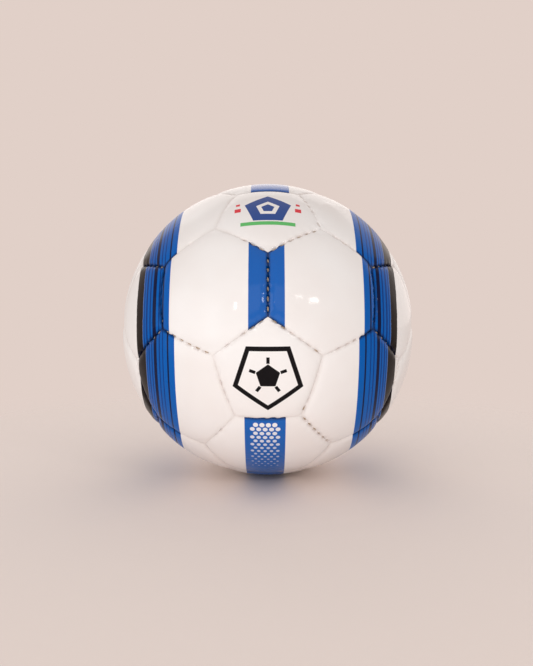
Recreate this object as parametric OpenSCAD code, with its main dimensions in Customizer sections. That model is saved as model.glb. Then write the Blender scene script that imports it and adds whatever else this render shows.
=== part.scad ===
// Mini soccer ball: a stitched cover of 12 pentagon and 20 hexagon panels over an air bladder
// with a needle valve. Lengths are in millimetres.
// The origin is the ball's centre. +Z runs out through the valve in the middle of the top
// hexagon, and -Y is the front, where two pentagons stand above each other on the X = 0 plane.

/* [Ball] */
// Diameter over the crowns of the panels
ball_d = 143; // [136:0.5:156]

/* [Panels] */
// Thickness of the glossy cover sheet
cover_t = 1.2; // [0.8:0.05:1.5]
// Radius of each panel's own dome, smaller than the ball so that panels stand puffed
panel_dome_r = 64; // [58:0.5:67]
// Depth of the rolled edge where a panel turns down into a seam
edge_depth = 1.6; // [1:0.1:1.8]
// Width of the rolled edge
edge_width = 2.6; // [2:0.1:3.4]
// Depth of the turned-in panel edge below the crown
turn_in = 3.9; // [3.4:0.1:5]
// Gap between the two turned-in edges of a seam
seam_gap = 0.1; // [0.06:0.02:0.2]
// Thickness of the cloth lining behind each panel
lining_t = 0.9; // [0.5:0.1:1.2]
// Glue line between a panel and its lining
glue_t = 0.1; // [0.05:0.05:0.2]

/* [Stitching] */
// Diameter of the waxed seam thread
thread_d = 0.65; // [0.4:0.05:0.8]
// Distance between two stitches along a seam
stitch_pitch = 4.4; // [3.6:0.2:6]
// Least distance from a stitch to the corner where three seams meet
stitch_end = 2.6; // [2.4:0.1:4]
// Height of the stitch row above the tip of the turned-in edges
stitch_lift = 0.7; // [0.6:0.05:0.9]
// Clearance all round the thread, in its holes and beside the panel edges
thread_clear = 0.12; // [0.08:0.02:0.16]

/* [Bladder] */
// Wall thickness of the bladder
bladder_t = 0.8; // [0.5:0.1:1.4]
// Gap between the bladder and the turned-in panel edges
bladder_gap = 0.3; // [0.1:0.05:0.5]

/* [Valve] */
// Diameter of the valve's neck, which fills the hole in the top panel
neck_d = 7; // [6.6:0.1:9]
// Depth of the neck's face below the top panel's crown
neck_drop = 0.4; // [0.2:0.1:0.8]
// Diameter of the valve's collar, glued on the bladder
collar_d = 20; // [14:1:28]
// Thickness of the collar
collar_t = 1; // [0.6:0.1:1.2]
// Length of the valve's stem inside the bladder
stem_len = 10; // [8:0.5:14]
// Clearance of the neck and stem in the holes that they pass
neck_clear = 0.15; // [0.1:0.05:0.3]
// Diameter of the removable valve plug
plug_d = 4.4; // [3.8:0.1:4.8]
// Diameter of the plug's head
plug_head_d = 5.6; // [5.2:0.1:6]
// Thickness of the plug's head
plug_head_t = 1.2; // [0.8:0.1:1.6]
// Running clearance of the plug in the valve, on the radius
plug_clear = 0.05; // [0.02:0.01:0.08]
// Diameter of the needle hole in the plug
needle_d = 2.1; // [1.8:0.1:2.4]
// Depth of the needle hole below the plug's face
needle_depth = 9; // [6:0.5:10]
// Width of the flare at the mouth of the needle hole
needle_flare = 0.5; // [0.3:0.1:0.8]

/* [Hidden] */
$fn = 180;
thread_fn = 24;

// The panels' corners are those of an icosahedron with its own corners cut off.
phi = (1 + sqrt(5)) / 2;
pentagon = 5;
hexagon = 6;
edge_share = sqrt(9 * phi + 10) / 2; // corner radius for a seam of length 1
half_seam_angle = asin(0.5 / edge_share);
front_tilt = atan(phi / (2 * phi + 1)); // brings a hexagon's middle up to the +Z axis

ball_r = ball_d / 2;
dome_offset = ball_r - panel_dome_r;
tip_r = ball_r - turn_in;
face_inset = seam_gap / 2;
pocket_inset = face_inset + cover_t;

thread_r = thread_d / 2;
stitch_r = tip_r + stitch_lift;
stitch_hole_r = thread_r + thread_clear;
rail_inset = pocket_inset + thread_clear + thread_r;
lining_inset = rail_inset + thread_r + thread_clear;
seam_arc = 2 * half_seam_angle * PI / 180 * stitch_r;
stitches = floor((seam_arc - 2 * stitch_end) / stitch_pitch) + 1;
stitch_angle = stitch_pitch / stitch_r * 180 / PI;
rung_share = 0.9; // a rung is this much thinner than the rail that it ends in
bevel_flats = 3;
bevel_box = [24, 44, 12];

bladder_r = tip_r - bladder_gap;
neck_top = ball_r - neck_drop;
stem_end = bladder_r - stem_len;
neck_hole_r = neck_d / 2 + neck_clear;
head_seat = neck_top - plug_head_t;
plug_end = stem_end + plug_head_t;
slack = 1; // how far cutters run past what they cut

// Directions of the panels
ico = [for (s = [-1, 1], t = [-1, 1]) each [[0, s * phi, t], [s, 0, t * phi], [s * phi, t, 0]]];
corners = [for (v = ico) tilted(unit(v))];
adjacent = 1.2; // corners closer than this, on a ball of radius 1, are neighbours
pairs = [for (i = [0:11], j = [i + 1:1:11]) if (norm(corners[i] - corners[j]) < adjacent) [i, j]];
faces = [
    for (p = pairs, k = [p[1] + 1:1:11])
        if (norm(corners[p[0]] - corners[k]) < adjacent && norm(corners[p[1]] - corners[k]) < adjacent)
            unit(corners[p[0]] + corners[p[1]] + corners[k])
];
pentagons = from_top(corners);
hexagons = from_top(faces);

function unit(v) = v / norm(v);
function tilted(v) =
    let (c = cos(front_tilt), s = sin(front_tilt)) [v.x, c * v.y + s * v.z, c * v.z - s * v.y];
function panel_name(kind, i) = str(kind, "_panel_", i < 9 ? "0" : "", i + 1);

// Panels are numbered from the top down, and round from the front at each height.
function rank(v) = -1000 * round(1000 * v.z) + atan2(v.x, -v.y);
function from_top(list) =
    len(list) < 2 ? list :
    let (pivot = rank(list[0]))
    concat(
        from_top([for (v = list) if (rank(v) < pivot) v]),
        [list[0]],
        from_top([for (v = list) if (rank(v) > pivot) v])
    );

// The nearest direction in a list to a given one
function nearest(v, list, i = 0, best = 0) =
    i == len(list) ? list[best] :
    nearest(v, list, i + 1, norm(list[i] - v) < norm(list[best] - v) ? i : best);

// Angle from a panel's middle to the middle of each of its edges
function edge_angle(sides) = asin(cos(180 / sides) / sin(180 / sides) * sin(half_seam_angle) /
                                  cos(half_seam_angle));

// Puts +Z along z and +X as near as possible to x.
module facing(z, x) {
    ax = unit(x - (x * z) * z);
    ay = cross(z, ax);
    multmatrix([[ax.x, ay.x, z.x, 0], [ax.y, ay.y, z.y, 0], [ax.z, ay.z, z.z, 0]]) children();
}

module at_pentagon(v) {
    facing(v, nearest(v, hexagons)) children();
}

module at_hexagon(v) {
    facing(v, nearest(v, pentagons)) children();
}

// At each edge of a panel, +Z runs out through the middle of the seam, Y runs along the seam
// and -X points back into the panel.
module at_edges(sides) {
    for (k = [0:sides - 1])
        rotate([0, 0, k * 360 / sides])
            rotate([0, edge_angle(sides), 0]) children();
}

// At each stitch of a seam, +Z runs out through the stitch and X crosses the seam.
module at_stitches() {
    for (i = [0:stitches - 1])
        rotate([(i - (stitches - 1) / 2) * stitch_angle, 0, 0]) translate([0, 0, stitch_r]) children();
}

// A sphere whose poles lie off the panel that is cut from it
module turned_sphere(r) {
    rotate([90, 0, 0]) sphere(r);
}

// A panel's dome, drop below its outer face, cut off at an inset from its seams
module cap(sides, drop, inset) {
    difference() {
        translate([0, 0, dome_offset]) turned_sphere(panel_dome_r - drop);
        at_edges(sides)
            translate([-inset, -ball_d, -ball_d]) cube(2 * ball_d);
    }
}

// What the rolled edges take off a panel's rim: a bevel in a few flats along each seam
module edge_bevels(sides) {
    a = edge_angle(sides);
    rim_r = dome_offset * cos(a) + sqrt(pow(panel_dome_r, 2) - pow(face_inset - dome_offset * sin(a), 2));
    at_edges(sides)
        for (i = [0:bevel_flats - 1])
            rotate([(2 * i + 1 - bevel_flats) * half_seam_angle / bevel_flats, 0, 0])
                translate([-face_inset, 0, rim_r - edge_depth])
                    rotate([0, atan(edge_depth / edge_width), 0])
                        translate([-bevel_box.x / 2, -bevel_box.y / 2, 0]) cube(bevel_box);
}

module stitch_holes(sides) {
    at_edges(sides)
        at_stitches()
            rotate([0, -90, 0]) cylinder(h = pocket_inset + slack, r = stitch_hole_r, $fn = thread_fn);
}

// One cover panel, with its edges rolled over and turned in along the seams
module panel(sides) {
    difference() {
        cap(sides, 0, face_inset);
        cap(sides, cover_t, pocket_inset);
        turned_sphere(tip_r);
        edge_bevels(sides);
        stitch_holes(sides);
    }
}

module lining(sides) {
    difference() {
        cap(sides, cover_t + glue_t, lining_inset);
        translate([0, 0, dome_offset]) turned_sphere(panel_dome_r - cover_t - glue_t - lining_t);
    }
}

// The hole that the valve's neck passes in the top panel, its lining and the bladder
module neck_hole() {
    translate([0, 0, stem_end]) cylinder(h = ball_d, r = neck_hole_r);
}

module pentagon_panel(i) {
    side_band = abs(pentagons[i].x) > 0.8;
    color(side_band ? "royalblue" : "whitesmoke") at_pentagon(pentagons[i]) panel(pentagon);
}

module hexagon_panel(i) {
    color("whitesmoke")
        difference() {
            at_hexagon(hexagons[i]) panel(hexagon);
            if (i == 0) neck_hole();
        }
}

module pentagon_linings() {
    color("wheat")
        for (v = pentagons) at_pentagon(v) lining(pentagon);
}

module hexagon_linings() {
    color("wheat")
        for (i = [0:len(hexagons) - 1])
            difference() {
                at_hexagon(hexagons[i]) lining(hexagon);
                if (i == 0) neck_hole();
            }
}

// The thread of one seam: a flat-pressed run along each turned-in edge, with a rung through each
// pair of stitch holes
module seam_thread() {
    half_row = ((stitches - 1) / 2 + thread_d / stitch_pitch) * stitch_angle;
    for (side = [-1, 1])
        rotate([0, -90, 0]) rotate([0, 0, -half_row])
            rotate_extrude(angle = 2 * half_row)
                translate([stitch_r, side * rail_inset]) square(thread_d, center = true);
    at_stitches()
        rotate([0, 90, 0])
            cylinder(h = 2 * rail_inset, r = rung_share * thread_r, center = true, $fn = thread_fn);
}

// Thread of the seams round the pentagons
module pentagon_seam_threads() {
    color("tan")
        for (v = pentagons) at_pentagon(v) at_edges(pentagon) seam_thread();
}

// Thread of the seams between two hexagons, each of which points from pentagon to pentagon
module hexagon_seam_threads() {
    color("tan")
        for (p = pairs)
            facing(unit(corners[p[0]] + corners[p[1]]), cross(corners[p[0]], corners[p[1]])) seam_thread();
}

module bladder() {
    color("dimgray")
        difference() {
            sphere(bladder_r);
            sphere(bladder_r - bladder_t);
            neck_hole();
        }
}

// The rubber valve: a collar on the bladder, a neck up to the panel's face and a stem inside
module valve_housing() {
    color("black")
        difference() {
            union() {
                intersection() {
                    difference() {
                        sphere(bladder_r + glue_t + collar_t);
                        sphere(bladder_r + glue_t);
                    }
                    cylinder(h = ball_d, d = collar_d);
                }
                translate([0, 0, stem_end]) cylinder(h = neck_top - stem_end, d = neck_d);
            }
            translate([0, 0, stem_end - slack]) cylinder(h = stem_len + ball_r, r = plug_d / 2 + plug_clear);
            translate([0, 0, head_seat]) cylinder(h = ball_r, r = plug_head_d / 2 + plug_clear);
        }
}

// The plug that seals the valve and takes the pump's needle
module valve_plug() {
    face = neck_top - plug_clear;
    seat = head_seat + plug_clear;
    color("dimgray")
        difference() {
            union() {
                translate([0, 0, plug_end]) cylinder(h = face - plug_end, d = plug_d);
                translate([0, 0, seat]) cylinder(h = face - seat, d = plug_head_d);
            }
            translate([0, 0, face - needle_depth]) cylinder(h = needle_depth + slack, d = needle_d);
            translate([0, 0, face - needle_flare])
                cylinder(h = needle_flare, d1 = needle_d, d2 = needle_d + 2 * needle_flare);
        }
}

for (i = [0:len(pentagons) - 1])
    pentagon_panel(i);
for (i = [0:len(hexagons) - 1])
    hexagon_panel(i);
pentagon_linings();
hexagon_linings();
pentagon_seam_threads();
hexagon_seam_threads();
bladder();
valve_housing();
valve_plug();
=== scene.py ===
import math

import bpy
import numpy as np
from mathutils import Matrix


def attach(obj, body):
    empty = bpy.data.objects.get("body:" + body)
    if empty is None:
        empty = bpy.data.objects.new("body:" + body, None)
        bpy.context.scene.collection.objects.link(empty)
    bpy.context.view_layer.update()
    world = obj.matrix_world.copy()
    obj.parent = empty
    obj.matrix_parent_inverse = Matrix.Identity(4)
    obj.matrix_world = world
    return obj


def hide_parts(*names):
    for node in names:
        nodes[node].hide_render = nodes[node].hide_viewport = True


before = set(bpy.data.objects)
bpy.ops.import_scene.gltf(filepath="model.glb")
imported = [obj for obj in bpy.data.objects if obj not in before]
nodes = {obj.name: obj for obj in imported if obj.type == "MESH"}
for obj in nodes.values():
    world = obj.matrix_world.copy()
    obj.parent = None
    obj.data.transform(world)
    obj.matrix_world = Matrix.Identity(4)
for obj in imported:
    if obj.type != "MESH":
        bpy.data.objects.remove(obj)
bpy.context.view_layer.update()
mm = 0.001  # the scene is in metres, the sizes below are in millimetres
upright = np.array([0.0, 0.0, 1.0])

# the ball's own geometry: an icosahedron with its corners cut off, turned so that a hexagon is on top
golden = (1 + math.sqrt(5)) / 2
frontTilt = math.atan(golden / (2 * golden + 1))
halfSeam = math.asin(1 / math.sqrt(9 * golden + 10))  # half a seam, as an angle at the ball's middle
ballR = max(v.co.length for v in nodes["hexagon_panel_20"].data.vertices) / mm
seamReach = halfSeam * ballR
neighbourReach = 1.2  # pentagons closer than this on a ball of radius 1 are neighbours


def unit(v):
    v = np.asarray(v, float)
    return v / np.linalg.norm(v)


def tilted(v, angle=frontTilt):
    c, s = math.cos(angle), math.sin(angle)
    return np.array([v[0], c * v[1] + s * v[2], c * v[2] - s * v[1]])


def neighbours(a, b):
    return 0 < np.linalg.norm(a - b) < neighbourReach


def nearest(v, directions):
    return max(directions, key=lambda d: float(np.dot(d, v)))


def edgeAngle(sides):  # from a panel's middle to the middle of an edge
    return math.asin(math.tan(halfSeam) / math.tan(math.pi / sides))


def basis(z, toward):  # columns x, y, z of a frame that looks out along z
    x = unit(np.asarray(toward) - np.dot(toward, z) * z)
    return np.column_stack([x, np.cross(z, x), z])


pentagons = [tilted(unit(v)) for s in (-1, 1) for t in (-1, 1)
             for v in ((0, s * golden, t), (s, 0, t * golden), (s * golden, t, 0))]
pairs = [(a, b) for i, a in enumerate(pentagons) for b in pentagons[i + 1:] if neighbours(a, b)]
hexagons = []
for a, b in pairs:
    for c in pentagons:
        if neighbours(a, c) and neighbours(b, c):
            middle = unit(a + b + c)
            if not any(np.allclose(middle, h) for h in hexagons):
                hexagons.append(middle)


# meshes
def tubeFaces(rings, around):  # quads between rings of points, one ring after the other
    return [(k * around + i, k * around + (i + 1) % around,
             (k + 1) * around + (i + 1) % around, (k + 1) * around + i)
            for k in range(rings - 1) for i in range(around)]


def meshObject(name, verts, faces):
    mesh = bpy.data.meshes.new(name)
    mesh.from_pydata([tuple(v) for v in np.asarray(verts) * mm], [], faces)
    mesh.polygons.foreach_set("use_smooth", [True] * len(mesh.polygons))
    mesh.update()
    obj = bpy.data.objects.new(name, mesh)
    bpy.context.scene.collection.objects.link(obj)
    return obj


def paintVector(obj, name, values):  # a vector at each vertex, for the shader to read
    attribute = obj.data.attributes.new(name, "FLOAT_VECTOR", "POINT")
    attribute.data.foreach_set("vector", np.asarray(values, np.float32).ravel())


# shader maths
def connect(node, key, value):  # a link or a constant into one of a node's sockets
    socket = node.inputs[key]
    if isinstance(value, Sock):
        value.tree.links.new(value.socket, socket)
    else:
        socket.default_value = value


class Sock:  # a shader socket: + - * / on it add Math nodes
    def __init__(self, tree, socket):
        self.tree = tree
        self.socket = socket

    def add(self, kind, settings=None, inputs=None, out=0):
        node = self.tree.nodes.new(kind)
        for key, value in (settings or {}).items():
            setattr(node, key, value)
        for key, value in (inputs or {}).items():
            connect(node, key, value)
        return Sock(self.tree, node.outputs[out])

    def maths(self, operation, *values):
        return self.add("ShaderNodeMath", {"operation": operation}, dict(enumerate(values)))

    def __add__(self, other):
        return self.maths("ADD", self, other)

    def __radd__(self, other):
        return self.maths("ADD", other, self)

    def __sub__(self, other):
        return self.maths("SUBTRACT", self, other)

    def __rsub__(self, other):
        return self.maths("SUBTRACT", other, self)

    def __mul__(self, other):
        return self.maths("MULTIPLY", self, other)

    def __rmul__(self, other):
        return self.maths("MULTIPLY", other, self)

    def __truediv__(self, other):
        return self.maths("DIVIDE", self, other)

    def __rtruediv__(self, other):
        return self.maths("DIVIDE", other, self)

    def __abs__(self):
        return self.maths("ABSOLUTE", self)

    def root(self):
        return self.maths("SQRT", self)

    def most(self, other):
        return self.maths("MAXIMUM", self, other)

    def folded(self, pitch):  # how far it is past the nearest multiple of the pitch
        return self.maths("FLOORED_MODULO", self + pitch / 2, pitch) - pitch / 2

    def ramp(self, low, high, atLow=0.0, atHigh=1.0):
        return self.add("ShaderNodeMapRange", {"clamp": True},
                        {"Value": self, "From Min": low, "From Max": high, "To Min": atLow, "To Max": atHigh})

    def below(self, edge, soft=0.09):
        return self.ramp(edge - soft, edge + soft, 1.0, 0.0)

    def above(self, edge, soft=0.09):
        return self.ramp(edge - soft, edge + soft)

    def line(self, middle, half):
        return abs(self - middle).below(half)

    def mix(self, a, b):  # colour a where this is 0, colour b where it is 1
        return self.add("ShaderNodeMix", {"data_type": "RGBA"}, {0: self, 6: a, 7: b}, 2)

    def noise(self, scale, detail=3.0, rough=0.5):
        return self.add("ShaderNodeTexNoise", {},
                        {"Vector": self, "Scale": scale, "Detail": detail, "Roughness": rough})

    def wave(self, direction, scale, distortion, detail=2.0):
        return self.add("ShaderNodeTexWave", {"bands_direction": direction},
                        {"Vector": self, "Scale": scale, "Distortion": distortion, "Detail": detail}, 1)

    def bumped(self, strength, distance):
        return self.add("ShaderNodeBump", {}, {"Strength": strength, "Distance": distance, "Height": self})


def rgb(*levels):  # a colour as a picture editor shows it, for the shader
    shares = [level / 255 for level in levels]
    linear = [s / 12.92 if s < 0.0404 else ((s + 0.055) / 1.055) ** 2.4 for s in shares]
    return (*linear, 1)


def newMaterial(name):
    material = bpy.data.materials.new(name)
    material.use_nodes = True
    tree = material.node_tree
    shader = next(n for n in tree.nodes if n.type == "BSDF_PRINCIPLED")
    place = Sock(tree, shader.outputs[0]).add("ShaderNodeTexCoord", out=3)
    return material, shader, place


def feed(shader, **sockets):  # constants and links straight on the shader
    for name, value in sockets.items():
        connect(shader, name.replace("_", " "), value)


def painted(place, name):  # the three parts of a vector that paintVector gave each vertex
    vector = place.add("ShaderNodeAttribute", {"attribute_name": name}, out=1)
    return [vector.add("ShaderNodeSeparateXYZ", {}, {0: vector}, part) for part in range(3)]


# printed PVC of the cover panels: the bands and their lines lie this far from the ball's middle plane
ink = dict(
    white=rgb(244, 238, 235), dullWhite=rgb(241, 233, 229), blue=rgb(2, 88, 170), brightBlue=rgb(0, 94, 180),
    deepBlue=rgb(4, 46, 112), navy=rgb(10, 20, 56), black=rgb(26, 18, 15),
    bandFrom=40.4, bandTo=54.5, blackTo=59.0, darkLines=((43.5, 0.36), (49.6, 0.74)), faint=0.9,
    faintLines=((45.9, 0.22), (47.5, 0.26), (51.3, 0.26), (52.7, 0.3), (53.8, 0.18)))
pvc = dict(rough=0.3, cloudy=0.08, dirtRough=0.25, inkSmooth=0.06, coat=0.5, inkCoat=0.43, stripeCoat=0.1,
           coatRough=0.085, ior=1.5, specular=0.06, grain=0.06, grainDeep=0.0004)
# the dark navy colour here is painted shade in the seam grooves on the inks, and the tan is partly soil and
# partly painted shade along the seams on the white
seamSoilAndShade = dict(tanSoilAndShade=rgb(160, 124, 100), tanSoilAndShadeWide=1.5, tanSoilAndShadeMix=0.22, grooveShade=rgb(12, 18, 44), grooveShadeFrom=0.1,
            grooveShadeTo=1.3, grooveShadeMix=0.8)
# badges: the number that marks the panel of each, and their sizes, measured from the panel's middle
badges = {"front": 1, "upper": 2, "label": 3}
frontBadge = dict(black=rgb(20, 17, 19), ring=(11.7, 1.0), core=4.3, spokeFrom=5.5, spokeTo=8.2,
                  spokeSquare=0.5)
upperBadge = dict(blue=rgb(34, 72, 142), green=rgb(96, 186, 104), red=rgb(222, 48, 62), up=1.0,
                  ring=(6.6, 2.2), core=2.5, bar=((0, -9.6), (12, 1.1)),
                  bigSpot=((13.4, 0.6), (1.4, 1.4)), smallSpot=((13.4, 5.2), (0.9, 0.9)))
dots = dict(white=rgb(240, 236, 236), pitch=2.8, rowPitch=2.4, half=5.7, top=24.0, bottom=-9.6, big=1.15,
            small=0.4, faded=0.3)
# the middle stripe: half its width, and how far it is off to the right on the panels that it crosses
stripeHalf = dict(besideSeam=7.55, middle=8.8)
stripeShift = dict(besideSeam=-0.6, lower=-1.2, upper=1.0)


def pentagonReach(u, v, turn):  # distance from the middle, measured across a pentagon's flats
    wedge = (u.maths("ARCTAN2", v, u) + turn).folded(math.tau / 5)
    return (u * u + v * v).root() * wedge.maths("COSINE", wedge)


def box2d(u, v, middle, half):  # 1 inside an upright rectangle
    return abs(u - middle[0]).below(half[0]) * abs(v - middle[1]).below(half[1])


def spokedPentagon(u, v):  # a pentagon with five spokes, inside a pentagon outline that points down
    outline = pentagonReach(u, v, -math.pi / 2).line(*frontBadge["ring"])
    core = pentagonReach(u, v, math.pi / 2).below(frontBadge["core"])
    toCorner = pentagonReach(u, v, math.pi / 2 + math.tau / 10)
    spokes = (u * u + v * v - toCorner * toCorner).below(frontBadge["spokeSquare"])
    spokes = spokes * toCorner.above(frontBadge["spokeFrom"]) * toCorner.below(frontBadge["spokeTo"])
    return outline.most(core).most(spokes)


def fadingDots(u, v):  # staggered rows of dots that shrink and fade downwards
    mid = u - stripeShift["lower"]
    row = v.maths("FLOOR", v / dots["rowPitch"])
    staggered = mid + row.maths("FLOORED_MODULO", row, 2) * (dots["pitch"] / 2)
    fromDot = staggered.folded(dots["pitch"])
    fromRow = v - (row + 0.5) * dots["rowPitch"]
    size = v.ramp(dots["bottom"], dots["top"], dots["small"], dots["big"])
    mask = ((fromDot * fromDot + fromRow * fromRow).root() - size).below(0)
    mask = mask * abs(mid - fromDot).below(dots["half"]) * v.above(dots["bottom"]) * v.below(dots["top"])
    return mask * v.ramp(dots["bottom"], dots["top"], dots["faded"], 1.0)


def printedCover(name):
    material, shader, place = newMaterial(name)
    stripe, band, seam = painted(place, "ink")
    u, v, kind = painted(place, "motif")
    onFront, onUpper, onLabel = (kind.line(number, 0.4) for number in badges.values())
    cloud = place.noise(38, 2)

    # white sheet with its blue and black inks
    onStripe = stripe.below(0)
    onBlue = band.above(ink["bandFrom"]) * band.below(ink["bandTo"])
    onBlack = band.above(ink["bandTo"]) * band.below(ink["blackTo"])
    onBand = band.above(ink["bandFrom"]) * band.below(ink["blackTo"])
    inked = onStripe.most(onBand)
    colour = cloud.ramp(0.35, 0.7).mix(ink["white"], ink["dullWhite"])
    colour = onStripe.most(onBlue).mix(colour, cloud.mix(ink["blue"], ink["brightBlue"]))
    faintLines = sum(band.line(*line) for line in ink["faintLines"])
    colour = (faintLines * ink["faint"]).mix(colour, ink["deepBlue"])
    darkLines = sum(band.line(*line) for line in ink["darkLines"])
    colour = darkLines.mix(colour, ink["navy"])
    colour = onBlack.mix(colour, ink["black"])

    # badges
    badge = spokedPentagon(u, v) * onFront
    colour = badge.mix(colour, frontBadge["black"])
    reach = pentagonReach(u, v - upperBadge["up"], math.pi / 2)
    shield = reach.line(*upperBadge["ring"]).most(reach.below(upperBadge["core"]))
    colour = (shield * onUpper).mix(colour, upperBadge["blue"])
    colour = (box2d(u, v, *upperBadge["bar"]) * onUpper).mix(colour, upperBadge["green"])
    spots = box2d(abs(u), v, *upperBadge["bigSpot"]).most(box2d(abs(u), v, *upperBadge["smallSpot"]))
    colour = (spots * onUpper).mix(colour, upperBadge["red"])
    colour = (fadingDots(u, v) * onLabel).mix(colour, dots["white"])

    # soil and painted shade along the seams: a patchy tan on the white that is partly soil and partly painted
    # shade, and painted shade of dark navy in the seam grooves on the inks
    patchy = place.noise(60, 4, 0.7).ramp(0.38, 0.68, 0.1, 1.0)
    # a patchy tan along the seams on the white, strongest at the seam: partly soil and partly painted shade
    tanSoilAndShade = seam.ramp(0.0, seamSoilAndShade["tanSoilAndShadeWide"], 1.0, 0.0) * patchy
    # painted shade: the inks turn dark navy close to each seam, as if its groove were in shadow
    grooveShade = seam.ramp(seamSoilAndShade["grooveShadeFrom"], seamSoilAndShade["grooveShadeTo"], 1.0, 0.0) * inked
    colour = (tanSoilAndShade * seamSoilAndShade["tanSoilAndShadeMix"] * (1 - inked)).mix(colour, seamSoilAndShade["tanSoilAndShade"])
    colour = (grooveShade * seamSoilAndShade["grooveShadeMix"]).mix(colour, seamSoilAndShade["grooveShade"])

    roughness = pvc["rough"] + cloud * pvc["cloudy"] + tanSoilAndShade * pvc["dirtRough"] - inked * pvc["inkSmooth"]
    coat = pvc["coat"] - onBand.most(badge) * pvc["inkCoat"] + onStripe * pvc["stripeCoat"]
    grain = place.noise(900, 2) * 0.5 + place.noise(2400, 1) * 0.5
    feed(shader, Base_Color=colour, Roughness=roughness, Coat_Weight=coat, Coat_Roughness=pvc["coatRough"],
         IOR=pvc["ior"], Specular_IOR_Level=pvc["specular"],
         Normal=grain.bumped(pvc["grain"], pvc["grainDeep"]))
    return material


coverMaterial = printedCover("printedPvc")
print("stage: material of the cover")

# seams: each is drawn tight to its own depth, with some of its stitch holes standing open
seamLook = dict(seed=25516, shallow=0.25, deep=1.3, stitches=6, pitch=4.4, slant=0.2, slackest=0.7,
                waver=0.16, tightWaver=0.2, stillEnd=1.5, waverFade=2, frontFrom=-0.3)
# the front's seams from the top down, each row from left to right: how deep the seam is, and how far each of
# its holes stands open, in ninths, read from left to right or from the top down
frontSeams = (
    (0.50, "000000"), (0.20, "001000"), (0.30, "688708"), (0.25, "002789"), (0.35, "887989"),
    (0.15, "000500"), (0.35, "059800"), (1.50, "889999"), (1.50, "999988"), (1.60, "999999"),
    (1.80, "999999"), (1.80, "999999"), (0.25, "040676"), (0.40, "895437"), (0.30, "788898"),
    (0.50, "255655"), (1.60, "000000"), (1.50, "999999"), (1.60, "999999"), (1.60, "000000"),
    (0.65, "004330"), (1.40, "000029"), (1.20, "888888"), (1.30, "999999"), (0.60, "003640"),
    (0.60, "002500"), (1.30, "899999"), (0.60, "668400"), (1.00, "000044"), (0.80, "000000"),
    (1.00, "000000"), (0.60, "000000"))
readingWay = np.array([1.0, 0.0, -0.6])
stitchAt = (np.arange(seamLook["stitches"]) - (seamLook["stitches"] - 1) / 2) * seamLook["pitch"]

seams = []
for a, b in pairs:
    seams.append(dict(goesRound="hexagon", middle=unit(a + b), along=unit(b - a)))
for p in pentagons:
    for h in hexagons:
        if np.dot(p, h) > math.cos(edgeAngle(5) + edgeAngle(6) + 0.02):
            middle = unit(p * math.sin(edgeAngle(6)) + h * math.sin(edgeAngle(5)))
            seams.append(dict(goesRound="pentagon", middle=middle, along=unit(np.cross(p, h))))
rng = np.random.default_rng(seamLook["seed"])
for seam, (depth, slack) in zip(seams, rng.uniform(size=(len(seams), 2))):
    seam["depth"] = seamLook["shallow"] + (seamLook["deep"] - seamLook["shallow"]) * depth
    ajar = rng.uniform(seamLook["slackest"], 1, seamLook["stitches"])
    seam["gape"] = ajar * (rng.uniform(size=seamLook["stitches"]) < slack)
front = [seam for seam in seams if seam["middle"][1] < seamLook["frontFrom"]]
front.sort(key=lambda seam: (-round(seam["middle"][2], 2), seam["middle"][0]))
for seam, (depth, holes) in zip(front, frontSeams):
    seam["depth"] = depth
    ninths = holes if np.dot(seam["along"], readingWay) > 0 else holes[::-1]
    seam["gape"] = np.array([int(ninth) for ninth in ninths]) / 9
print("stage: seams", len(seams), "of which in front", len(front))

# cover panels: sheet with its edges rolled down and turned in along the seams
panel = dict(
    sheet=1.2, turnIn=3.9, gap=0.02, crownDrop=0.35, swellWide=9, swellDeep=0.45,
    rollWide=1.2, rollWiden=1.7, steep=0.91, pitWide=0.42, pitLong=1.3, pitDeep=1.5,
    dentWide=2.4, dentLong=1.7, dentDeep=0.22, lump=0.12, lumps=(5, 7), ripple=0.035, ripples=(7, 24),
    holeR=3.65, lip=0.25, firstSeed=11)
# where the mesh has its rings, in shares of the way in and then in millimetres from an edge, and its columns
panelGrid = dict(
    inner=(0.88, 0.72, 0.58, 0.46, 0.37, 0.29),
    edge=(4.4, 3.5, 2.8, 2.25, 1.8, 1.45, 1.15, 0.9, 0.7, 0.52, 0.36, 0.22, 0.1, 0.02),
    besideStitch=(-1.8, -1.4, -1.0, -0.5, 0, 0.5, 1.0, 1.4, 1.8), fromCorner=1,
    underEdge=5.0, under=(0.45, 0.7), underLast=0.9, roundWithin=0.2, roundFade=0.45)


def unevenness(rng, count, pace):  # a soft random height over the sphere, from -1 to 1
    waves = rng.normal(size=(count, 3)) * pace
    phases = rng.uniform(0, math.tau, count)
    return lambda d: np.sin(d @ waves.T + phases).mean(axis=1)


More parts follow.
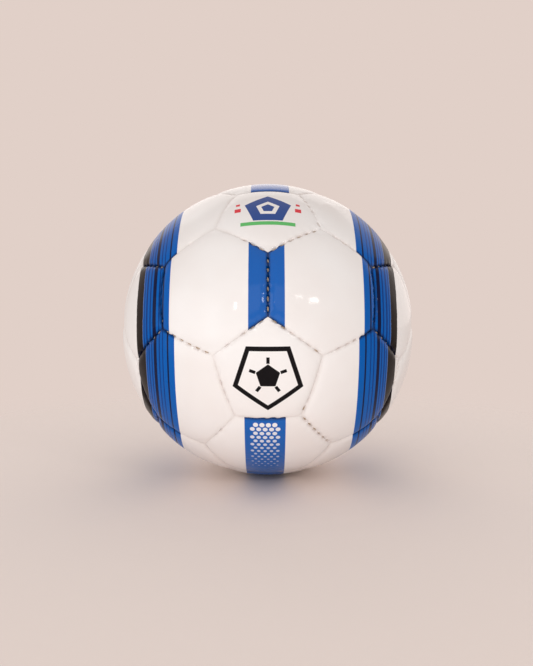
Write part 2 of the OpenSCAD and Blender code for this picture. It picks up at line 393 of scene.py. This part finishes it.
def panelMesh(name, sides, frameOf, seed, holed):
    toEdge = edgeAngle(sides)
    apothem = toEdge * ballR
    corner = math.asin(math.sin(halfSeam) / math.sin(math.pi / sides))

    # the panel's outline, and the seam at each of its edges
    columns = np.add.outer(stitchAt, panelGrid["besideStitch"]).ravel()
    ends = seamReach - panelGrid["fromCorner"]
    along = np.array([-seamReach, -ends, *columns, ends]) / ballR
    edge = np.column_stack([np.full_like(along, math.tan(toEdge)), np.tan(along) / math.cos(toEdge)])
    turns = math.tau * np.arange(sides) / sides
    c, s = np.cos(turns), np.sin(turns)
    rim = np.concatenate([edge @ [[ct, st], [-st, ct]] for ct, st in zip(c, s)])
    rimR = np.linalg.norm(rim, axis=1)
    around = rim / rimR[:, None]
    flat, upward = math.sin(toEdge), math.cos(toEdge)
    edgeMiddles = np.column_stack([c * flat, s * flat, np.full(sides, upward)])
    normals = np.column_stack([c * upward, s * upward, np.full(sides, -flat)])
    sideways = np.column_stack([-s, c, np.zeros(sides)])
    depths, gapes = [], []
    for edgeMiddle, sideway in zip(edgeMiddles @ frameOf.T, sideways @ frameOf.T):
        seam = max(seams, key=lambda seam: float(np.dot(seam["middle"], edgeMiddle)))
        depths.append(seam["depth"])
        gapes.append(seam["gape"] if np.dot(sideway, seam["along"]) > 0 else seam["gape"][::-1])
    depths = np.array(depths)
    gapes = np.array(gapes)
    rng = np.random.default_rng(seed)
    lumpy = unevenness(rng, *panel["lumps"])
    rippled = unevenness(rng, *panel["ripples"])

    def ring(inset):  # directions of a ring, inset from the edges and rounder towards the middle
        share = math.tan(toEdge - inset / ballR) / math.tan(toEdge)
        cornered = np.clip((share - panelGrid["roundWithin"]) / panelGrid["roundFade"], 0, 1)
        r = share * (math.tan(toEdge) * (1 - cornered) + rimR * cornered)
        return np.array([unit(d) for d in np.column_stack([around * r[:, None], np.ones(len(r))])])

    def toSeams(d):
        return -ballR * (d @ normals.T)

    def alongSeams(d):
        return ballR * (d @ sideways.T)

    def wavering(d):  # the stitches pull the seam line to and fro
        y = alongSeams(d)
        fade = np.clip((seamReach - seamLook["stillEnd"] - np.abs(y)) / seamLook["waverFade"], 0, 1)
        loose = (gapes * np.exp(-((y[:, :, None] - stitchAt) / seamLook["pitch"] * 2) ** 2)).max(axis=2)
        share = seamLook["tightWaver"] + (1 - seamLook["tightWaver"]) * loose
        pull = seamLook["waver"] * share * np.sin(math.tau * y / seamLook["pitch"])
        pull = pull * fade * np.exp(-toSeams(d) ** 2)
        moved = d - (pull / ballR) @ normals
        return moved / np.linalg.norm(moved, axis=1)[:, None]

    def crown(d):
        angle = np.arccos(np.clip(d[:, 2], -1, 1))
        return ballR - panel["crownDrop"] * (angle / corner) ** 2

    def outerR(d):
        h = toSeams(d)
        x = np.clip(1 - h / (panel["rollWide"] + panel["rollWiden"] * depths), 0, 1)
        t = np.minimum(np.linalg.norm(x, axis=1), 1) * panel["steep"]
        depth = (x * x) @ depths / np.maximum((x * x).sum(axis=1), 1e-9)
        roll = depth * (1 - np.sqrt(1 - t * t))
        swell = np.minimum(np.linalg.norm(np.clip(1 - h / panel["swellWide"], 0, 1), axis=1), 1)
        roll += panel["swellDeep"] * swell ** 3
        fromStitch = alongSeams(d)[:, :, None] - stitchAt
        aslant = h[:, :, None] - seamLook["slant"] * fromStitch
        wide = panel["pitWide"] * (0.5 + 0.5 * gapes)
        holes = np.exp(-(fromStitch / panel["pitLong"]) ** 4 - (aslant / wide) ** 2)
        pits = (gapes * holes).max(axis=(1, 2)) * panel["pitDeep"]
        pulled = (gapes * np.exp(-(fromStitch / panel["dentLong"]) ** 2)).max(axis=2)
        dents = (np.exp(-(h / panel["dentWide"]) ** 2) * pulled).max(axis=1) * panel["dentDeep"]
        uneven = (lumpy(d) - 1) * panel["lump"] + (rippled(d) - 1) * panel["ripple"]
        return crown(d) - roll - pits - dents + uneven

    # rings over the outside, round the turned-in edge and back along the underside
    hole = apothem - panel["holeR"]
    insets = [apothem * share for share in panelGrid["inner"]]
    insets += [inset for inset in panelGrid["edge"] if inset < insets[-1]]
    if holed:
        insets = [hole, hole - panel["lip"]] + [i for i in insets if i < hole - 2 * panel["lip"]]
    pocket = panel["gap"] + panel["sheet"]
    under = [pocket, panelGrid["underEdge"], *(apothem * share for share in panelGrid["under"])]
    under.append(hole if holed else apothem * panelGrid["underLast"])
    tip = ballR - panel["turnIn"]
    rings = [(d, outerR(d)) for d in map(ring, insets)]
    rings += [(ring(panel["gap"]), tip), (ring(pocket), tip)]
    rings += [(d, crown(d) - panel["sheet"] - panel["lump"]) for d in map(ring, under)]
    dirs = [d for d, r in rings]
    points = [wavering(d) * np.reshape(r, (-1, 1)) for d, r in rings]

    n = len(rim)
    last = (len(rings) - 1) * n
    faces = [face[::-1] for face in tubeFaces(len(rings), n)]
    if holed:
        faces += [(last + i, i, (i + 1) % n, last + (i + 1) % n) for i in range(n)]
    else:
        top = last + n
        middle = upright[None, :]
        points += [middle * outerR(middle)[0], middle * (ballR - panel["sheet"] - panel["lump"])]
        dirs += [middle, middle]
        faces += [(top, i, (i + 1) % n) for i in range(n)]
        faces += [(top + 1, last + (i + 1) % n, last + i) for i in range(n)]
    placed = np.concatenate(points) @ frameOf.T
    fromSeam = toSeams(np.concatenate(dirs)).min(axis=1)
    return meshObject(name, placed, faces), placed, fromSeam


# how far the bands are off on some kinds of panel and on each side of the ball
bandShift = dict(besideSeam=2.4, side=0.4, left=-0.6, right=-1.7)
# on the side pentagons the print is stretched: where it is, and which part of the bands it shows there
sidePrint = dict(at=(0, 49.6, 55.6, 58.9, 80), shows=(0, 49.6, 54.5, 59.0, 80))
noStripe = 50  # on a panel without a stripe, all of it is at least this far from one


def panelKind(middle):  # how far a panel is from the ball's middle plane, and the badge it carries
    x, y, z = tilted(middle, -frontTilt)
    badge = 0
    if abs(x) < 0.01 and y < 0:
        if abs(y) > abs(z):
            badge = badges["front"] if z < 0 else badges["upper"]
        elif z < 0:
            badge = badges["label"]
    return abs(x), badge


def paintInk(piece, points, fromSeam, middle, sides, across):
    shift = np.where(points[:, 0] < 0, bandShift["left"], bandShift["right"])
    fromStripe = np.abs(points[:, 0]) + noStripe
    if sides == 6 and across < 0.01:
        aside = stripeShift["lower"] if middle[2] < 0 else stripeShift["upper"]
        fromStripe = np.abs(points[:, 0] - aside) - stripeHalf["middle"]
    elif sides == 6 and across < 0.4:
        fromStripe = np.abs(points[:, 0] - stripeShift["besideSeam"]) - stripeHalf["besideSeam"]
        shift = shift + bandShift["besideSeam"]
    band = np.abs(points[:, 0]) - shift
    if sides == 5 and across > 0.8:
        band = np.interp(band - bandShift["side"], sidePrint["at"], sidePrint["shows"])
    paintVector(piece, "ink", np.column_stack([fromStripe, band, fromSeam]))


def paintMotif(piece, points, middle, badge):  # millimetres to the right and up from the panel's middle
    up = np.array([0.0, 1.0, 0.0])
    if abs(middle[2]) < 0.99:
        up = unit(upright - np.dot(upright, middle) * middle)
    right = np.cross(up, middle)
    outward = points / np.linalg.norm(points, axis=1)[:, None]
    arc = np.arccos(np.clip(outward @ middle, -1, 1)) * ballR
    tangent = outward - np.outer(outward @ middle, middle)
    tangent /= np.maximum(np.linalg.norm(tangent, axis=1), 1e-9)[:, None]
    motif = [arc * (tangent @ right), arc * (tangent @ up), np.full(len(points), badge)]
    paintVector(piece, "motif", np.column_stack(motif))


allPanels = sorted(n for n in nodes if "_panel_" in n)
for number, name in enumerate(allPanels):
    corners = np.array([v.co for v in nodes[name].data.vertices])
    sides = 5 if name.startswith("pentagon") else 6
    same, other = (pentagons, hexagons) if sides == 5 else (hexagons, pentagons)
    middle = nearest(unit(corners.mean(axis=0)), same)
    frameOf = basis(middle, nearest(middle, other))
    holed = middle[2] > 0.999
    piece, points, fromSeam = panelMesh("cover_" + name, sides, frameOf, panel["firstSeed"] + number, holed)
    across, badge = panelKind(middle)
    paintInk(piece, points, fromSeam, middle, sides, across)
    paintMotif(piece, points, middle, badge)
    piece.data.materials.append(coverMaterial)
    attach(piece, "ball")
    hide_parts(name)
    "panel_blue" if sides == 5 and across > 0.8 else "panel_white"
print("stage: cover panels", len(allPanels))

# stitches that show in the seams
stitch = dict(thick=0.38, long=1.3, blunt=2.6, dive=0.35, sink=1.1, follow=0.4, under=0.6, uneven=0.12,
              shortest=0.8, longest=1.15, slant=8, seed=5, around=10, rings=9)
thread = dict(light=rgb(224, 204, 180), dark=rgb(130, 100, 76), rough=0.75)


def threadMaterial(name):
    material, shader, place = newMaterial(name)
    strand = place.wave("DIAGONAL", 900, 1.5)
    fuzz = place.noise(1500, 3)
    colour = (strand * 0.5 + fuzz * 0.6).mix(thread["dark"], thread["light"])
    feed(shader, Base_Color=colour, Roughness=thread["rough"],
         Normal=(strand + fuzz * 0.5).bumped(0.5, 0.0002))
    return material


def stitchShape():  # one dash of thread along y, with ends that dive into their holes
    turn = np.linspace(0, math.tau, stitch["around"], endpoint=False)
    rings = []
    for t in np.linspace(-1, 1, stitch["rings"]):
        r = stitch["thick"] * math.sqrt(max(1 - abs(t) ** stitch["blunt"], 0.02))
        y = np.full_like(turn, t * stitch["long"])
        rings.append(np.column_stack([r * np.cos(turn), y, r * np.sin(turn) - stitch["dive"] * t * t]))
    n = stitch["around"]
    last = (stitch["rings"] - 1) * n
    faces = tubeFaces(stitch["rings"], n) + [tuple(range(n))[::-1], tuple(range(last, last + n))]
    return np.concatenate(rings), faces


def stitchMesh(name, goesRound, rng):
    shape, shapeFaces = stitchShape()
    edgeR = ballR - panel["crownDrop"] - panel["lump"] - panel["swellDeep"]
    verts, faces = [], []
    for seam in seams:
        if seam["goesRound"] != goesRound:
            continue
        frameOf = np.column_stack([np.cross(seam["along"], seam["middle"]), seam["along"], seam["middle"]])
        bed = edgeR - stitch["follow"] * seam["depth"]
        for at, gape in zip(stitchAt, seam["gape"]):
            lean = math.atan(seamLook["slant"]) + math.radians(rng.normal(0, stitch["slant"]))
            c, s = math.cos(lean), math.sin(lean)
            leaning = np.array([[c, -s, 0], [s, c, 0], [0, 0, 1]])
            c, s = math.cos(at / ballR), math.sin(at / ballR)
            alongSeam = np.array([[1, 0, 0], [0, c, s], [0, -s, c]])
            size = rng.uniform(stitch["shortest"], stitch["longest"])
            lift = bed - stitch["sink"] - stitch["under"] * (1 - gape) - rng.uniform(0, stitch["uneven"])
            placed = (shape * [1, size, 1] @ leaning.T + [0, 0, lift]) @ alongSeam.T
            faces += [tuple(len(verts) + corner for corner in face) for face in shapeFaces]
            verts += list(placed @ frameOf.T)
    return meshObject(name, verts, faces)


waxedThread = threadMaterial("waxedThread")
rng = np.random.default_rng(stitch["seed"])
for kind in ("pentagon", "hexagon"):
    piece = stitchMesh(kind + "_stitches", kind, rng)
    piece.data.materials.append(waxedThread)
    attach(piece, "ball")
print("stage: stitches in", len(seams), "seams")


# inner pieces: threads, linings, bladder and valve keep their solids
def wovenCloth(name, low, high):
    material, shader, place = newMaterial(name)
    weave = place.wave("X", 420, 0.6) * place.wave("Z", 420, 0.6)
    feed(shader, Base_Color=weave.mix(low, high), Roughness=0.9, Normal=weave.bumped(0.5, 0.0003))
    return material


def moulded(name, low, high, rough, scale):  # rubber with a faint bloom
    material, shader, place = newMaterial(name)
    bloom = place.noise(scale, 4, 0.6)
    feed(shader, Base_Color=bloom.ramp(0.3, 0.75).mix(low, high), Roughness=rough + bloom * 0.2,
         Normal=place.noise(scale * 12, 2).bumped(0.12, 0.0002))
    return material


liningCloth = wovenCloth("liningCloth", rgb(188, 172, 142), rgb(228, 216, 190))
finishes = {
    "pentagon_seam_threads": waxedThread,
    "hexagon_seam_threads": waxedThread,
    "pentagon_linings": liningCloth,
    "hexagon_linings": liningCloth,
    "bladder": moulded("bladderRubber", rgb(30, 30, 32), rgb(58, 57, 58), 0.5, 60),
    "valve_housing": moulded("valveRubber", rgb(18, 18, 19), rgb(38, 37, 37), 0.42, 260),
    "valve_plug": moulded("plugRubber", rgb(52, 51, 50), rgb(84, 82, 80), 0.45, 320),
}
for name, material in finishes.items():
    nodes[name].data.materials.clear()
    nodes[name].data.materials.append(material)
print("stage: inner pieces", len(finishes))

# floor: a wide pale disc that fades out into a backdrop of the same colour
stage = dict(reach=1500, sides=96, fadeFrom=110, fadeTo=290, rough=0.85, specular=0.2,
             floor=rgb(250, 236, 229), dull=rgb(247, 233, 226), backdrop=rgb(225, 208, 200),
             light=(1.0, 0.975, 0.96, 1), strength=0.585)


def paleFloor(name):
    material, shader, place = newMaterial(name)
    colour = place.noise(3, 2).ramp(0.3, 0.7).mix(stage["floor"], stage["dull"])
    away = place.add("ShaderNodeVectorMath", {"operation": "LENGTH"}, {0: place}, 1)
    feed(shader, Base_Color=colour, Roughness=stage["rough"], Specular_IOR_Level=stage["specular"],
         Alpha=away.ramp(stage["fadeFrom"] * mm, stage["fadeTo"] * mm, 1.0, 0.0))
    return material


turns = np.linspace(0, math.tau, stage["sides"], endpoint=False)
disc = np.column_stack([np.cos(turns), np.sin(turns), np.zeros(len(turns))]) * stage["reach"]
floor = meshObject("floor", disc - upright * ballR, [tuple(range(stage["sides"]))])
floor.data.materials.append(paleFloor("paleFloor"))

# light: the world shows its backdrop colour to the eye and in reflections, and lights as a soft dome
scene = bpy.context.scene
scene.world = bpy.data.worlds.new("studio")
scene.world.use_nodes = True
backdrop = scene.world.node_tree.nodes["Background"]
start = Sock(scene.world.node_tree, backdrop.outputs[0])
direct, glossy, through = (start.add("ShaderNodeLightPath", out="Is " + ray + " Ray")
                           for ray in ("Camera", "Glossy", "Transmission"))
seen = direct.most(glossy).most(through)
feed(backdrop, Color=seen.mix(stage["light"], stage["backdrop"]),
     Strength=seen.ramp(0, 1, stage["strength"], 1))

lamps = {
    "above": dict(at=(-40, -770, 350), size=(480, 320), power=0.28),
    "left": dict(at=(-780, -480, 120), size=(800, 640), power=1.6, colour=(0.95, 0.98, 1)),
    "front": dict(at=(-240, -860, 5), size=(900, 140), power=0.26),
    "low": dict(at=(0, -600, -120), size=(600, 90), power=1.0, colour=(0.96, 0.98, 1), mirrored=False),
    "behind": dict(at=(-150, 900, 520), size=(1000, 800), power=1.8),
    "right": dict(at=(640, 640, 300), size=(800, 700), power=1.1, colour=(1, 0.95, 0.92)),
    "glintRight": dict(at=(458, -648, 348), size=(110, 50), power=0.36),
    "glintMiddle": dict(at=(309, -713, 387), size=(80, 40), power=0.08),
    "glintLeft": dict(at=(-318, -751, 300), size=(35, 70), power=0.15),
}


def softLamp(name, at, size, power, colour=(1, 0.985, 0.97), mirrored=True):  # a panel that faces the ball
    lamp = bpy.data.lights.new(name, "AREA")
    lamp.shape = "RECTANGLE"
    lamp.size = size[0] * mm
    lamp.size_y = size[1] * mm
    lamp.energy = power
    lamp.color = colour
    obj = bpy.data.objects.new(name, lamp)
    obj.visible_camera = False
    obj.visible_glossy = mirrored
    obj.location = [c * mm for c in at]
    back = unit(at)
    side = unit(np.cross(upright, back))
    obj.rotation_euler = Matrix(np.column_stack([side, np.cross(back, side), back])).to_euler()
    scene.collection.objects.link(obj)


for name, look in lamps.items():
    softLamp(name, **look)

# camera at the photograph's viewing angle
shot = dict(at=(-0.6, -389.8, 33.8), down=5.2, focalPx=784, frameHigh=666, sensor=36, clipFrom=10)
camera = bpy.data.cameras.new("camera")
camera.sensor_width = shot["sensor"]
camera.lens = shot["focalPx"] / shot["frameHigh"] * shot["sensor"]
camera.clip_start = shot["clipFrom"] * mm
cameraObject = bpy.data.objects.new("camera", camera)
cameraObject.location = [c * mm for c in shot["at"]]
cameraObject.rotation_euler = (math.radians(90 - shot["down"]), 0, 0)
scene.collection.objects.link(cameraObject)
scene.camera = cameraObject
scene.view_settings.view_transform = "Standard"
print("stage: floor, light and camera")
